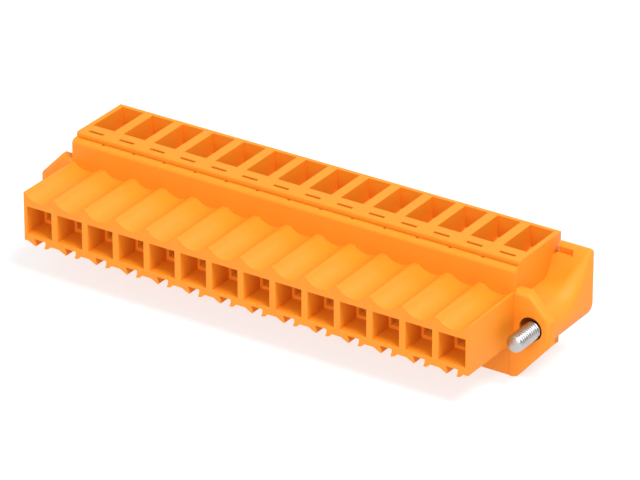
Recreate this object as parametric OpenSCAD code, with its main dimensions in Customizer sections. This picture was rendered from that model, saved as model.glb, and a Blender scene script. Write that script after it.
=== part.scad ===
// Pluggable terminal block with screw flanges.
// Plug direction is -Y, wires enter from +Z, clamp screws face +Y.
// The frame's origin is the middle of the footprint, at the lowest face.

/* [Row] */
// Number of poles
poles = 14; // [2:1:14]
// Distance between two poles
pitch = 5.08; // [5.0:0.02:5.2]

/* [Mating part] */
// Length of the mating part, from its open face to the front wall
mate_depth = 11.42; // [11:0.02:12]
// Height of the ridges above the socket floor
mate_top = 6.15; // [5.9:0.05:6.6]
// Thickness under the socket floor
mate_floor = 1.1; // [1.0:0.05:1.3]
// Depth of the trough above each pole at the open face
scallop = 1.12; // [0.6:0.02:1.3]
// Radius of the trough
scallop_r = 3.0; // [2.8:0.05:4]
// Width of a socket
socket_w = 4.13; // [4.06:0.01:4.2]
// Height of a socket
socket_h = 4.12; // [4.08:0.01:4.2]
// Depth of the wide front part of a socket
socket_d = 4.0; // [3.8:0.05:4.2]
// Length of the coding grooves on the underside
coding_len = 9.0; // [4:0.5:10]

/* [Wire-entry block] */
// Height of the top face above the socket floor
top_z = 10.2; // [10:0.05:11]
// Height of the ledge in front of the seam
ledge_z = 9.5; // [9.2:0.05:9.7]
// Depth of the body below the socket floor
drop_z = 6.3; // [6.2:0.05:7]
// Position of the back face behind the open face
back_y = 23.05; // [23:0.05:23.6]
// Thickness of the front wall
wall_t = 1.18; // [1.1:0.02:1.3]
// Width of a wire well
well_w = 3.59; // [3.3:0.01:3.8]
// Front edge of a wire well
well_y0 = 15.42; // [15.3:0.02:15.8]
// Back edge of a wire well
well_y1 = 22.45; // [22:0.05:22.5]
// Width of a test slot
slot_w = 2.47; // [2:0.01:2.6]
// Position of the test slots
slot_y = 13.66; // [13.5:0.02:13.8]
// Width of the seam groove
seam_w = 0.24; // [0.1:0.02:0.4]

/* [Flanges] */
// Outer half length of the plug
flange_x = 41.0; // [40.9:0.05:41.3]
// Height of the flange screw above the socket floor
flange_z = 1.5; // [1.3:0.05:1.7]
// Radius of the flange bore
flange_r = 1.70; // [1.6:0.02:1.8]
// Height of the ear at the back
ear_z = 9.3; // [9:0.05:9.6]
// Depth of the ear's back face
ear_y = 22.4; // [22.2:0.05:22.8]

/* [Clamps] */
// Height of the clamp screws relative to the socket floor
clamp_z = -1.0; // [-1.2:0.05:-0.8]
// Radius of the clamp screw over its thread
clamp_r = 1.40; // [1.3:0.01:1.42]
// Radius of the clamp screw's head
head_r = 1.87; // [1.7:0.01:1.9]
// Width of the current bar
bar_w = 2.2; // [1.8:0.05:2.3]

/* [Hidden] */

half = poles * pitch / 2;            // half width of the poled part
orange = [1.0, 0.56, 0.16];
tin = [0.78, 0.77, 0.74];
zinc = [0.72, 0.73, 0.74];
front_y = mate_depth;                // front wall plane
seam_y = front_y + wall_t;           // plane where the two housings meet
plate_y = front_y - 0.12;            // front face of the flange plates
pole_x = [for (i = [0:poles - 1]) (i - (poles - 1) / 2) * pitch];
seat_y = 19.4;                       // seat of the flange screw's head
cham_w = 3.96;                       // clamp chamber
cham_z0 = -5.45;
cham_z1 = 3.4;
cham_y1 = 21.6;
bar_y0 = 17.6;                       // current bar
bar_y1 = 18.3;
e = 0.01;

// moves the working frame (open face at y = 0, socket floor at z = 0) to the part's frame
module placed() translate([0, -back_y / 2, drop_z]) children();

// extrudes a shape drawn in x and z along y
module along_y(y0, y1) translate([0, y1, 0]) rotate([90, 0, 0]) linear_extrude(y1 - y0) children();

// extrudes a shape drawn in y and z along x
module along_x(x0, x1) translate([x0, 0, 0]) rotate([90, 0, 90]) linear_extrude(x1 - x0) children();

module rod_y(r, y0, y1, n = 48) translate([0, y0, 0]) rotate([-90, 0, 0]) cylinder(h = y1 - y0, r = r, $fn = n);

// mating part: troughs over the poles, a coding rib and hook under each
module mating_part() difference() {
  union() {
    along_y(0, front_y) translate([-half, -mate_floor]) square([2 * half, mate_floor + mate_top]);
    for (x = pole_x) translate([x, 0, 0]) along_y(0, coding_len)
      polygon([[-1.9, -mate_floor + e], [-1.9, -mate_floor], [-0.95, -1.56], [-0.74, -1.68], [-0.62, -1.60], [-0.72, -mate_floor + e]]);
    for (x = pole_x) translate([x, 0, 0]) along_y(0, coding_len)
      polygon([[0.93, -mate_floor + e], [0.74, -1.60], [0.84, -1.68], [1.32, -1.56], [1.8, -mate_floor], [1.8, -mate_floor + e]]);
  }
  for (x = pole_x) translate([x, 0, 0]) {
    // trough above the pole, a little shallower towards the wall
    translate([0, 0, mate_top - scallop + scallop_r]) rotate([1.3, 0, 0]) rod_y(scallop_r, -1, front_y + 0.5, 64);
    // coding groove between rib and hook
    along_y(-1, coding_len)
      polygon([[-0.72, -mate_floor - e], [-0.72, -mate_floor + e], [-0.86, -0.58], [0.95, -0.58], [0.93, -mate_floor + e], [0.93, -mate_floor - e]]);
    along_y(coding_len - e, coding_len + 0.6)
      polygon([[-0.72, -mate_floor - e], [-0.86, -0.58], [0.95, -0.58], [0.93, -mate_floor - e]]);
  }
}

// front wall with a rounded top front edge
module front_wall() difference() {
  union() {
    along_x(-half, half) difference() {
      translate([front_y, -mate_floor]) square([wall_t, ledge_z + mate_floor]);
      translate([front_y, ledge_z - 0.7]) difference() {
        translate([-1, 0]) square([1.7, 1]);
        translate([0.7, 0]) circle(r = 0.7, $fn = 48);
      }
    }
    translate([-half + 0.46, front_y, -drop_z]) cube([2 * half - 0.92, wall_t, drop_z - mate_floor + e]);
  }
  // seam groove and its moulding notches at each pole boundary
  translate([-half + 0.3, seam_y - seam_w, ledge_z - 0.8]) cube([2 * half - 0.6, seam_w + 1, 2]);
  for (i = [1:poles - 1]) translate([-half + i * pitch - 0.62, seam_y - seam_w - 0.3, ledge_z - 0.35])
    cube([0.52, 1, 1]);
}

module front_housing() color(orange) placed() difference() {
  union() { mating_part(); front_wall(); }
  for (x = pole_x) translate([x, 0, 0]) {
    along_y(-1, socket_d) translate([-socket_w / 2, 0]) square([socket_w, socket_h]);
    along_y(socket_d - e, seam_y + 1) translate([-1.67, 0.5]) square([3.34, 3.1]);
  }
}

// height of the flange body's top at x and y: it sweeps up into the ear
function sweep(y, y0, y1) = let (t = max(0, min(1, (y - y0) / (y1 - y0)))) pow(t, 2.3);
function ear_h(y, s) = 4.3 + s * (ear_z - 4.3) * sweep(y, 14.6, 21.6);
function wall_h(y, s) = 4.85 + s * (ear_z - 4.85) * sweep(y, 18.6, 21.5);
function corner(y, s) = 2.9 - s * 2.4 * sweep(y, 13.4, 21.6);
function flange_ring(y, s) =
  let (xo = flange_x, xc = flange_x - 2.9, zb = flange_z - 2.9, rc = corner(y, s), h = ear_h(y, s), w = wall_h(y, s), xi = half - 0.25)
  concat([[xi, y, zb], [xc - 1, y, zb]],
    [for (k = [0:8]) let (a = -90 + k * 90 / 8) [xc + 2.9 * cos(a), y, flange_z + 2.9 * sin(a)]],
    [for (k = [1:10]) let (a = k * 9) [xo - rc + rc * cos(a), y, h - rc + rc * sin(a)]],
    [for (k = [1:8]) let (t = k / 8, x = xo - rc + (xi - xo + rc) * t, q = 1 - t) [x, y, w + (h - w) * pow(q, 1.4)]]);
flange_ys = concat([seam_y + 0.02, 13.2], [for (k = [0:18]) 13.8 + k * 0.42], [21.8, 22.1, ear_y]);

module flange_body(s) {
  rings = [for (y = flange_ys) flange_ring(y, s)];
  n = len(rings[0]);
  m = len(rings);
  polyhedron(points = [for (r = rings) each r],
    faces = concat([[for (i = [0:n - 1]) n - 1 - i]],
      [for (j = [0:m - 2]) for (i = [0:n - 1]) [j * n + i, j * n + (i + 1) % n, (j + 1) * n + (i + 1) % n]],
      [for (j = [0:m - 2]) for (i = [0:n - 1]) [j * n + i, (j + 1) * n + (i + 1) % n, (j + 1) * n + i]],
      [[for (i = [0:n - 1]) (m - 1) * n + i]]), convexity = 6);
}

// outline of the flange plate; its inner edge is at xi below the mating part and at xm beside it
module plate_outline(xi, xm) polygon([[xm, -mate_floor - 0.05], [xi, -mate_floor - 0.05], [xi, -drop_z],
  [half + 0.4, -drop_z], [flange_x, -0.45], [flange_x, 3.0], [half + 2.0, 6.6], [xm, 6.6]]);

// one screw flange: hexagonal plate and round body behind it, with an ear if s is 1
module flange(s) difference() {
  union() {
    along_y(plate_y, seam_y) plate_outline(half - 0.46, half);
    along_y(seam_y, seam_y + 0.15) plate_outline(half - 0.46, half - 0.46);
    flange_body(s);
    // gusset between plate and body
    along_y(seam_y, seam_y + 0.5)
      polygon([[half - 0.2, -4.2], [half + 2.4, -2.9], [flange_x - 0.75, -0.6], [half - 0.2, 2]]);
  }
  translate([flange_x - 2.9, 0, flange_z]) {
    rod_y(flange_r, 10, 16);
    rod_y(1.32, 15.9, seat_y + e);
    rod_y(2.38, seat_y, 24);
  }
  if (s == 1) {
    // gap between the block and the ear, and the slot under the ear's top strip
    translate([half, 20.4, 7.6]) cube([0.5, 4, 4]);
    translate([half - 1, 20.4, 8.0]) cube([3.95, 1.4, 0.9]);
  }
}

// well, its funnel and the clamp chamber of one pole
module pole_cavity() {
  along_x(-well_w / 2, well_w / 2) polygon([[well_y0, top_z + 1], [well_y1, top_z + 1], [well_y1, 7.0],
    [18.2, 4.3], [18.2, cham_z1 - e], [15.05, cham_z1 - e], [15.05, 4.3], [well_y0, 4.9]]);
  translate([-cham_w / 2, seam_y - 1, cham_z0]) cube([cham_w, cham_y1 - seam_y + 1, cham_z1 - cham_z0]);
  translate([-slot_w / 2, slot_y - 0.26, cham_z1 - e]) cube([slot_w, 0.52, top_z]);
  translate([0, 0, clamp_z]) {
    rod_y(head_r + 0.08, cham_y1 - 0.1, back_y + 1);
    translate([0, back_y - 0.35, 0]) rotate([-90, 0, 0]) cylinder(h = 0.36, r1 = head_r + 0.08, r2 = head_r + 0.42, $fn = 48);
  }
}

module clamp_housing() color(orange) placed() difference() {
  union() {
    translate([-half, seam_y, -drop_z]) cube([2 * half, back_y - seam_y, drop_z + top_z]);
    flange(1);
    mirror([1, 0, 0]) flange(0);
  }
  // round front edge of the top
  translate([0, seam_y, top_z - 0.3]) along_x(-half - 1, half + 1) difference() {
    translate([-1, 0]) square([1.3, 1]);
    translate([0.3, 0]) circle(r = 0.3, $fn = 32);
  }
  for (x = pole_x) translate([x, 0, 0]) pole_cavity();
}

// one spring leaf of the socket contact, drawn in x and y
module leaf() linear_extrude(2.1) polygon([[0.95, 4.35], [1.25, 4.35], [0.92, 5.7], [1.18, 7.4], [1.42, 9.2], [1.42, 11.2],
  [1.1, 11.2], [1.1, 9.3], [0.86, 7.5], [0.55, 5.7]]);

module contact(i) color(tin) placed() translate([pole_x[i], 0, 0]) {
  union() {
    translate([0, 0, 1.0]) { leaf(); mirror([1, 0, 0]) leaf(); }
    translate([-1.42, 11.0, 1.0]) cube([2.84, 0.9, 2.1]);
    along_x(-bar_w / 2, bar_w / 2) polygon([[11.5, 2.45], [11.5, 1.65], [13.25, 1.65], [13.25, -4.75], [13.65, -5.2],
      [17.95, -5.2], [bar_y1, -4.85], [bar_y1, 2.6], [bar_y0, 2.6], [bar_y0, -4.4], [14.05, -4.4], [14.05, 2.1], [13.7, 2.45]]);
  }
}

module yoke(i) color(zinc) placed() translate([pole_x[i], 0, clamp_z]) difference() {
  translate([-1.88, 14.35, -2.5]) cube([3.76, 4.95, 5.0]);
  translate([-1.46, 14.95, -3]) cube([2.92, 3.5, 6]);
  rod_y(clamp_r + 0.05, 18, 20);
  // bent corners of the strip
  for (s = [-1, 1]) translate([s * 1.88, 14.35, 0]) rotate([0, 0, 45]) cube([0.45, 0.45, 6], center = true);
}

module clamp_screw(i) color(zinc) placed() translate([pole_x[i], 0, clamp_z]) difference() {
  union() {
    rod_y(clamp_r, 18.7, 21.75);
    translate([0, 18.35, 0]) rotate([-90, 0, 0]) cylinder(h = 0.36, r1 = clamp_r - 0.35, r2 = clamp_r, $fn = 48);
    rod_y(head_r, 21.7, 22.65);
    translate([0, 22.64, 0]) rotate([-90, 0, 0]) cylinder(h = 0.2, r1 = head_r, r2 = head_r - 0.2, $fn = 48);
  }
  translate([-3, 22.2, -0.28]) cube([6, 2, 0.56]);
}

module flange_screw(s) color(zinc) placed() translate([s * (flange_x - 2.9), 0, flange_z - 0.38]) difference() {
  union() {
    translate([0, 6.9, 0]) rotate([-90, 0, 0]) cylinder(h = 0.46, r1 = 0.85, r2 = 1.25, $fn = 48);
    rod_y(1.25, 7.35, 11.1);
    rod_y(1.0, 11.0, 13.0);
    rod_y(0.9, 12.9, 20.5);
    rod_y(1.95, 20.4, 21.8);
    translate([0, 21.79, 0]) rotate([-90, 0, 0]) cylinder(h = 0.25, r1 = 1.95, r2 = 1.7, $fn = 48);
  }
  translate([-3, 21.3, -0.3]) cube([6, 2, 0.6]);
}

front_housing();
clamp_housing();
contact(0);  // contact_01
contact(1);  // contact_02
contact(2);  // contact_03
contact(3);  // contact_04
contact(4);  // contact_05
contact(5);  // contact_06
contact(6);  // contact_07
contact(7);  // contact_08
contact(8);  // contact_09
contact(9);  // contact_10
contact(10);  // contact_11
contact(11);  // contact_12
contact(12);  // contact_13
contact(13);  // contact_14
yoke(0);  // yoke_01
yoke(1);  // yoke_02
yoke(2);  // yoke_03
yoke(3);  // yoke_04
yoke(4);  // yoke_05
yoke(5);  // yoke_06
yoke(6);  // yoke_07
yoke(7);  // yoke_08
yoke(8);  // yoke_09
yoke(9);  // yoke_10
yoke(10);  // yoke_11
yoke(11);  // yoke_12
yoke(12);  // yoke_13
yoke(13);  // yoke_14
clamp_screw(0);  // clamp_screw_01
clamp_screw(1);  // clamp_screw_02
clamp_screw(2);  // clamp_screw_03
clamp_screw(3);  // clamp_screw_04
clamp_screw(4);  // clamp_screw_05
clamp_screw(5);  // clamp_screw_06
clamp_screw(6);  // clamp_screw_07
clamp_screw(7);  // clamp_screw_08
clamp_screw(8);  // clamp_screw_09
clamp_screw(9);  // clamp_screw_10
clamp_screw(10);  // clamp_screw_11
clamp_screw(11);  // clamp_screw_12
clamp_screw(12);  // clamp_screw_13
clamp_screw(13);  // clamp_screw_14
flange_screw(-1);  // flange_screw_left
flange_screw(1);  // flange_screw_right
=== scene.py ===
import math

import bmesh
import bpy
import numpy as np
from mathutils import Matrix, Vector


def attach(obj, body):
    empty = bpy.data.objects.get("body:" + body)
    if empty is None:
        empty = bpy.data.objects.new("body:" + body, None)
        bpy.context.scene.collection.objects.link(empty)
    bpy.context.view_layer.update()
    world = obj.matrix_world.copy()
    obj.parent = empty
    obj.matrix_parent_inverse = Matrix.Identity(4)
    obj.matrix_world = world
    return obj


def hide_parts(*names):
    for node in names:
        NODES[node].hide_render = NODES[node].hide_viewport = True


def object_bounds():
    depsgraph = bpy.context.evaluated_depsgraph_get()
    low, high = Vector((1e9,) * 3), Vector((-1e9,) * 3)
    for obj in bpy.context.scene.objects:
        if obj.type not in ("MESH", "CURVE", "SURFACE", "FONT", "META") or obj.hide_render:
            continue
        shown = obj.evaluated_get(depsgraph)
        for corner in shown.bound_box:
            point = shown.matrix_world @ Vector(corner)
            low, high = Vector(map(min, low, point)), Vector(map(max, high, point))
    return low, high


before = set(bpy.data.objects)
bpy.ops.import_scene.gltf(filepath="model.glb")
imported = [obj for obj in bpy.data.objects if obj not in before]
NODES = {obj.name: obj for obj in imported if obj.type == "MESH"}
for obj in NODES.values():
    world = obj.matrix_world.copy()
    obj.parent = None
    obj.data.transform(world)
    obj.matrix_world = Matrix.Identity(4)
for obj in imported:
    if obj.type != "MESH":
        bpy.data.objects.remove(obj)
cad_lo, cad_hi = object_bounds()
MM = 0.001
DEPTH = 23.05          # the part's depth, mm
DROP = 6.3             # the body's depth below the socket floor, mm
PITCH = 5.08
POLES = [(i - 6.5) * PITCH for i in range(14)]


def P(x, y, z):
    """A point given from the open face and the socket floor, in mm, in the row frame."""
    return Vector((x * MM, (y - DEPTH / 2) * MM, (z + DROP) * MM))


# ---------------------------------------------------------------- camera
az, el, dist = math.radians(33.232), math.radians(27.057), 651.395
back = Vector((math.sin(az) * math.cos(el), -math.cos(az) * math.cos(el), math.sin(el)))
target = P(7.386, 8.0, 7.427)
cam_data = bpy.data.cameras.new("camera")
cam = bpy.data.objects.new("camera", cam_data)
bpy.context.scene.collection.objects.link(cam)
cam.location = target + back * dist * MM
right = Vector((math.cos(az), math.sin(az), 0))
up = back.cross(right)
cam.matrix_world = Matrix(((right.x, up.x, back.x, cam.location.x), (right.y, up.y, back.y, cam.location.y),
                           (right.z, up.z, back.z, cam.location.z), (0, 0, 0, 1)))
cam_data.sensor_width = 36.0
cam_data.lens = 4909.031 / 640 * 36
cam_data.clip_start = 0.01
cam_data.clip_end = 20
bpy.context.scene.camera = cam


# ---------------------------------------------------------------- materials
def new_material(name):
    m = bpy.data.materials.new(name)
    m.use_nodes = True
    nt = m.node_tree
    return m, nt, nt.nodes["Principled BSDF"]


def node(nt, kind, **values):
    n = nt.nodes.new(kind)
    for k, v in values.items():
        if k in n.inputs:
            n.inputs[k].default_value = v
        else:
            setattr(n, k, v)
    return n


def ramp(nt, stops):
    r = nt.nodes.new("ShaderNodeValToRGB")
    r.color_ramp.elements[0].position, r.color_ramp.elements[0].color = stops[0]
    r.color_ramp.elements[1].position, r.color_ramp.elements[1].color = stops[-1]
    for p, c in stops[1:-1]:
        e = r.color_ramp.elements.new(p)
        e.color = c
    return r


def orange_plastic(name, base, dark, rough):
    m, nt, b = new_material(name)
    tc = node(nt, "ShaderNodeTexCoord")
    flow = node(nt, "ShaderNodeTexNoise", Scale=90.0, Detail=3.0, Roughness=0.55)
    nt.links.new(tc.outputs["Object"], flow.inputs["Vector"])
    col = ramp(nt, [(0.30, (*dark, 1)), (0.72, (*base, 1))])
    nt.links.new(flow.outputs["Fac"], col.inputs["Fac"])
    nt.links.new(col.outputs["Color"], b.inputs["Base Color"])
    # spark-eroded texture of the mould, fine and shallow
    grain = node(nt, "ShaderNodeTexNoise", Scale=5200.0, Detail=2.0, Roughness=0.6)
    nt.links.new(tc.outputs["Object"], grain.inputs["Vector"])
    rr = node(nt, "ShaderNodeMapRange")
    rr.inputs["To Min"].default_value = rough - 0.05
    rr.inputs["To Max"].default_value = rough + 0.07
    nt.links.new(flow.outputs["Fac"], rr.inputs["Value"])
    nt.links.new(rr.outputs["Result"], b.inputs["Roughness"])
    # slow unevenness of a moulded wall
    wave = node(nt, "ShaderNodeTexNoise", Scale=420.0, Detail=2.0, Roughness=0.5)
    nt.links.new(tc.outputs["Object"], wave.inputs["Vector"])
    b1 = node(nt, "ShaderNodeBump", Strength=0.25, Distance=0.00002)
    nt.links.new(wave.outputs["Fac"], b1.inputs["Height"])
    b2 = node(nt, "ShaderNodeBump", Strength=0.22, Distance=0.000006)
    nt.links.new(grain.outputs["Fac"], b2.inputs["Height"])
    nt.links.new(b1.outputs["Normal"], b2.inputs["Normal"])
    nt.links.new(b2.outputs["Normal"], b.inputs["Normal"])
    b.inputs["IOR"].default_value = 1.5
    b.inputs["Specular IOR Level"].default_value = 0.30
    b.inputs["Subsurface Weight"].default_value = 0.06
    b.inputs["Subsurface Radius"].default_value = (1.0, 0.35, 0.08)
    b.inputs["Subsurface Scale"].default_value = 0.0006
    return m


def metal(name, tone, rough, grain_scale, streak=(1, 1, 1), bump=0.25):
    m, nt, b = new_material(name)
    tc = node(nt, "ShaderNodeTexCoord")
    mp = node(nt, "ShaderNodeMapping")
    mp.inputs["Scale"].default_value = streak
    nt.links.new(tc.outputs["Object"], mp.inputs["Vector"])
    n1 = node(nt, "ShaderNodeTexNoise", Scale=grain_scale, Detail=4.0, Roughness=0.6)
    nt.links.new(mp.outputs["Vector"], n1.inputs["Vector"])
    lo = tuple(c * 0.86 for c in tone)
    col = ramp(nt, [(0.3, (*lo, 1)), (0.7, (*tone, 1))])
    nt.links.new(n1.outputs["Fac"], col.inputs["Fac"])
    nt.links.new(col.outputs["Color"], b.inputs["Base Color"])
    rr = node(nt, "ShaderNodeMapRange")
    rr.inputs["To Min"].default_value = rough - 0.08
    rr.inputs["To Max"].default_value = rough + 0.10
    nt.links.new(n1.outputs["Fac"], rr.inputs["Value"])
    nt.links.new(rr.outputs["Result"], b.inputs["Roughness"])
    bp = node(nt, "ShaderNodeBump", Strength=bump, Distance=0.000006)
    nt.links.new(n1.outputs["Fac"], bp.inputs["Height"])
    nt.links.new(bp.outputs["Normal"], b.inputs["Normal"])
    b.inputs["Metallic"].default_value = 1.0
    return m


PLASTIC = orange_plastic("orange_polyester", (0.80, 0.240, 0.011), (0.785, 0.229, 0.010), 0.52)
TIN = metal("tin_plate", (0.80, 0.79, 0.76), 0.30, 2600.0, (1, 0.15, 1))
ZINC = metal("zinc_plate", (0.52, 0.52, 0.515), 0.29, 3000.0)
STEEL = metal("zinc_strip", (0.66, 0.67, 0.68), 0.38, 2200.0, (1, 1, 0.2))


# ---------------------------------------------------------------- mesh helpers
def make_object(name, mesh, material, body, *replaced):
    o = bpy.data.objects.new(name, mesh)
    bpy.context.scene.collection.objects.link(o)
    o.data.materials.clear()
    o.data.materials.append(material)
    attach(o, body)
    if replaced:
        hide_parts(*replaced)
    return o


def clean_copy(node_name):
    """The CAD node's mesh as bmesh, with flat areas joined into single faces."""
    bm = bmesh.new()
    bm.from_mesh(NODES[node_name].data)
    bmesh.ops.remove_doubles(bm, verts=bm.verts, dist=2e-7)
    bmesh.ops.dissolve_degenerate(bm, edges=bm.edges, dist=1e-7)
    bmesh.ops.dissolve_limit(bm, angle_limit=math.radians(0.6), verts=bm.verts, edges=bm.edges, use_dissolve_boundaries=False)
    bm.edges.ensure_lookup_table()
    return bm


def finish_mesh(bm, name, sharp_deg=32):
    bm.normal_update()
    for f in bm.faces:
        f.smooth = True
    for ed in bm.edges:
        if len(ed.link_faces) == 2:
            ed.smooth = ed.calc_face_angle(0) < math.radians(sharp_deg)
    me = bpy.data.meshes.new(name)
    bm.to_mesh(me)
    bm.free()
    return me


def edge_angle(ed):
    return ed.calc_face_angle_signed(0) if len(ed.link_faces) == 2 else 0


def bevel_edges(bm, edges, width, segments=2):
    edges = [e for e in edges if e.is_valid]
    if edges:
        bmesh.ops.bevel(bm, geom=edges, offset=width * MM, offset_type="OFFSET", segments=segments, profile=0.5,
                        affect="EDGES", clamp_overlap=True, material=-1, loop_slide=True)


def mm(v):
    """Vertex position in the working frame, mm."""
    return v.x / MM, v.y / MM + DEPTH / 2, v.z / MM - DROP


def lathe(bm, x, z, stations, n=40, cap0=True, cap1=True):
    """Rings round an axis along Y through x, z (mm); stations are (y, radius)."""
    rings = []
    for y, r in stations:
        rings.append([bm.verts.new(P(x + r * math.cos(2 * math.pi * k / n), y, z + r * math.sin(2 * math.pi * k / n)))
                      for k in range(n)])
    for a, b in zip(rings, rings[1:]):
        for k in range(n):
            bm.faces.new((a[k], a[(k + 1) % n], b[(k + 1) % n], b[k]))
    if cap0:
        bm.faces.new(rings[0])
    if cap1:
        bm.faces.new(list(reversed(rings[-1])))


def thread(bm, x, z, y0, y1, crest, root, pitch, tip, n=48, per=9, runout=0.6):
    """A helical thread round an axis along Y, with a rounded tip at y0 and a run-out at y1."""
    steps = int((y1 - y0) / pitch * per)
    rings = []
    for s in range(steps + 1):
        y = y0 + (y1 - y0) * s / steps
        ring = []
        for k in range(n):
            th = 2 * math.pi * k / n
            ph = ((y - y0) / pitch - k / n) % 1.0
            tooth = min(1.0, max(0.0, 1.22 - abs(ph - 0.5) * 3.1))
            r = root + (crest - root) * tooth
            lead = (y - y0) / tip
            if lead < 1:
                r = min(r, crest * (0.60 + 0.40 * math.sqrt(max(0.0, 1 - (1 - lead) ** 2))))
            out = (y1 - y) / runout
            if out < 1:
                r = root + 0.4 * (crest - root) + (r - root - 0.4 * (crest - root)) * out
            ring.append(bm.verts.new(P(x + r * math.cos(th), y, z + r * math.sin(th))))
        rings.append(ring)
    for a, b in zip(rings, rings[1:]):
        for k in range(n):
            bm.faces.new((a[k], a[(k + 1) % n], b[(k + 1) % n], b[k]))
    # domed end of the tip
    prev = rings[0]
    r0 = crest * 0.60
    for f, dy in ((0.82, -0.035), (0.45, -0.06)):
        ring = [bm.verts.new(P(x + r0 * f * math.cos(2 * math.pi * k / n), y0 + dy, z + r0 * f * math.sin(2 * math.pi * k / n)))
                for k in range(n)]
        for k in range(n):
            bm.faces.new((ring[k], ring[(k + 1) % n], prev[(k + 1) % n], prev[k]))
        prev = ring
    bm.faces.new(prev)
    bm.faces.new(list(reversed(rings[-1])))


def slotted_head(bm, x, z, y0, y1, floor_y, r, slot, edge, n=44):
    """A cylinder head from y0 to y1 with a screwdriver slot along X down to floor_y and broken edges."""
    lathe(bm, x, z, [(y0, r - 0.08), (y0 + 0.08, r), (floor_y, r)], n)
    half = slot / 2
    for side in (1, -1):
        a0 = math.asin(half / r)
        outer = [(r * math.cos(a0 + (math.pi - 2 * a0) * k / 20), side * r * math.sin(a0 + (math.pi - 2 * a0) * k / 20))
                 for k in range(21)]

        def ring(y, inset):
            rr, hh = r - inset, half + inset
            b0 = math.asin(hh / rr)
            return [bm.verts.new(P(x + rr * math.cos(b0 + (math.pi - 2 * b0) * k / 20), y,
                                   z + side * rr * math.sin(b0 + (math.pi - 2 * b0) * k / 20))) for k in range(21)]

        rings = [ring(floor_y, 0.0), ring(y1 - edge, 0.0), ring(y1 - edge * 0.3, edge * 0.3), ring(y1, edge)]
        m = len(outer)
        for a, b in zip(rings, rings[1:]):
            for k in range(m):
                bm.faces.new((a[k], a[(k + 1) % m], b[(k + 1) % m], b[k]))
        bm.faces.new(rings[0])
        bm.faces.new(list(reversed(rings[-1])))


def outward(bm):
    bmesh.ops.recalc_face_normals(bm, faces=bm.faces)


# ---------------------------------------------------------------- screws
def flange_screw(name, x):
    z = 1.12
    bm = bmesh.new()
    thread(bm, x, z, 6.96, 11.95, 1.25, 0.95, 0.45, 0.5, runout=0.12)
    lathe(bm, x, z, [(11.9, 0.9), (20.42, 0.9)], 36)
    slotted_head(bm, x, z, 20.4, 22.04, 21.3, 1.95, 0.6, 0.18)
    outward(bm)
    make_object(name + "_threaded", finish_mesh(bm, name + "_threaded", 38), ZINC, name, name)


def clamp_screw(i):
    name = f"clamp_screw_{i + 1:02d}"
    bm = bmesh.new()
    thread(bm, POLES[i], -1.0, 18.41, 21.75, 1.40, 1.12, 0.5, 0.36, n=32, per=6, runout=0.3)
    slotted_head(bm, POLES[i], -1.0, 21.7, 22.84, 22.2, 1.87, 0.56, 0.16, n=36)
    outward(bm)
    make_object(name + "_threaded", finish_mesh(bm, name + "_threaded", 38), ZINC, name, name)


flange_screw("flange_screw_left", -38.1)
flange_screw("flange_screw_right", 38.1)
for i in range(14):
    clamp_screw(i)


# ---------------------------------------------------------------- contacts and clamp yokes: stamped parts with broken edges
def stamped(node_name, material, body, width):
    bm = clean_copy(node_name)
    bm.normal_update()
    edges = [ed for ed in bm.edges if len(ed.link_faces) == 2 and abs(edge_angle(ed)) > math.radians(50)
             and ed.calc_length() > 4 * width * MM]
    bevel_edges(bm, edges, width, 1)
    make_object(node_name + "_stamped", finish_mesh(bm, node_name + "_stamped", 50), material, body, node_name)


for i in range(14):
    stamped(f"contact_{i + 1:02d}", TIN, "plug", 0.05)
    stamped(f"yoke_{i + 1:02d}", STEEL, f"yoke_{i + 1:02d}", 0.05)


# ---------------------------------------------------------------- housings: moulded edges
def housing(node_name, width, pick):
    bm = clean_copy(node_name)
    bm.normal_update()
    edges = []
    for ed in bm.edges:
        if len(ed.link_faces) != 2 or ed.calc_length() < 0.7 * MM:
            continue
        a = edge_angle(ed)
        if abs(a) < math.radians(38):
            continue
        p, q = mm(ed.verts[0].co), mm(ed.verts[1].co)
        if pick(p, q, a, ed):
            edges.append(ed)
    # leave out corners where a short or shallow edge would be run over
    ok = []
    for ed in edges:
        good = True
        for v in ed.verts:
            if len(v.link_edges) > 5 or min(e2.calc_length() for e2 in v.link_edges) < 1.6 * width * MM:
                good = False
        if good:
            ok.append(ed)
    n0 = len(bm.faces)
    if node_name == "clamp_housing":
        rim = []
        for ed in bm.edges:
            p, q = mm(ed.verts[0].co), mm(ed.verts[1].co)
            if all(abs(t[1] - 11.30) < 0.02 and abs(t[0]) > 35.3 and math.hypot(abs(t[0]) - 38.1, t[2] - 1.5) > 2.0 for t in (p, q)):
                if min(p[0], q[0]) * max(p[0], q[0]) > 0 and not (abs(abs(p[0]) - abs(q[0])) < 0.02 and abs(p[0]) < 35.7):
                    rim.append(ed)
        ok = [ed for ed in ok if ed not in rim]
        bevel_edges(bm, rim, 0.7, 4)
        ok = [ed for ed in ok if ed.is_valid]
    bevel_edges(bm, ok, width, 2)
    make_object(node_name + "_moulded", finish_mesh(bm, node_name + "_moulded", 34), PLASTIC, "plug", node_name)


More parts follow.
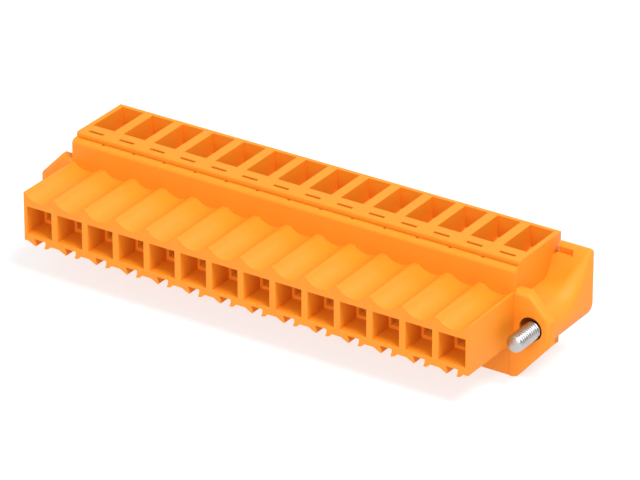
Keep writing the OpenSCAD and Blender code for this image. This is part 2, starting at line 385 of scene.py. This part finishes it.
housing("front_housing", 0.12, lambda p, q, a, ed: a > 0)
housing("clamp_housing", 0.12, lambda p, q, a, ed: a > 0)

# ---------------------------------------------------------------- stage, lights
def floor():
    m, nt, b = new_material("pale_floor")
    tc = node(nt, "ShaderNodeTexCoord")
    n1 = node(nt, "ShaderNodeTexNoise", Scale=6.0, Detail=2.0)
    nt.links.new(tc.outputs["Object"], n1.inputs["Vector"])
    col = ramp(nt, [(0.3, (0.30, 0.30, 0.30, 1)), (0.7, (0.32, 0.32, 0.32, 1))])
    nt.links.new(n1.outputs["Fac"], col.inputs["Fac"])
    nt.links.new(col.outputs["Color"], b.inputs["Base Color"])
    b.inputs["Roughness"].default_value = 0.9
    b.inputs["Specular IOR Level"].default_value = 0.1
    # a light table: lit from below, so that the part casts only a faint shadow
    b.inputs["Emission Color"].default_value = (1.0, 1.0, 1.0, 1)
    b.inputs["Emission Strength"].default_value = 0.70
    me = bpy.data.meshes.new("floor")
    s = 3.0
    me.from_pydata([(-s, -s, 0), (s, -s, 0), (s, s, 0), (-s, s, 0)], [], [(0, 1, 2, 3)])
    o = bpy.data.objects.new("floor", me)
    bpy.context.scene.collection.objects.link(o)
    me.materials.append(m)
    o.location.z = cad_lo[2] - 0.00002


floor()


def area(name, loc, size, power, color=(1, 1, 1)):
    d = bpy.data.lights.new(name, "AREA")
    d.shape = "DISK"
    d.size = size
    d.energy = power
    d.color = color
    o = bpy.data.objects.new(name, d)
    bpy.context.scene.collection.objects.link(o)
    o.location = loc
    o.rotation_euler = (target - Vector(loc)).to_track_quat("-Z", "Y").to_euler()
    return o


area("key", (0.44, -0.12, 0.88), 0.44, 9.2)
area("front", (0.12, -0.92, 0.38), 0.55, 4.4)
area("rear", (0.1, 0.8, 0.7), 0.6, 2.2)

world = bpy.data.worlds.new("studio")
bpy.context.scene.world = world
world.use_nodes = True
bg = world.node_tree.nodes["Background"]
bg.inputs["Color"].default_value = (1, 1, 1, 1)
bg.inputs["Strength"].default_value = 0.64

vs = bpy.context.scene.view_settings
vs.view_transform = "Standard"
vs.look = "None"
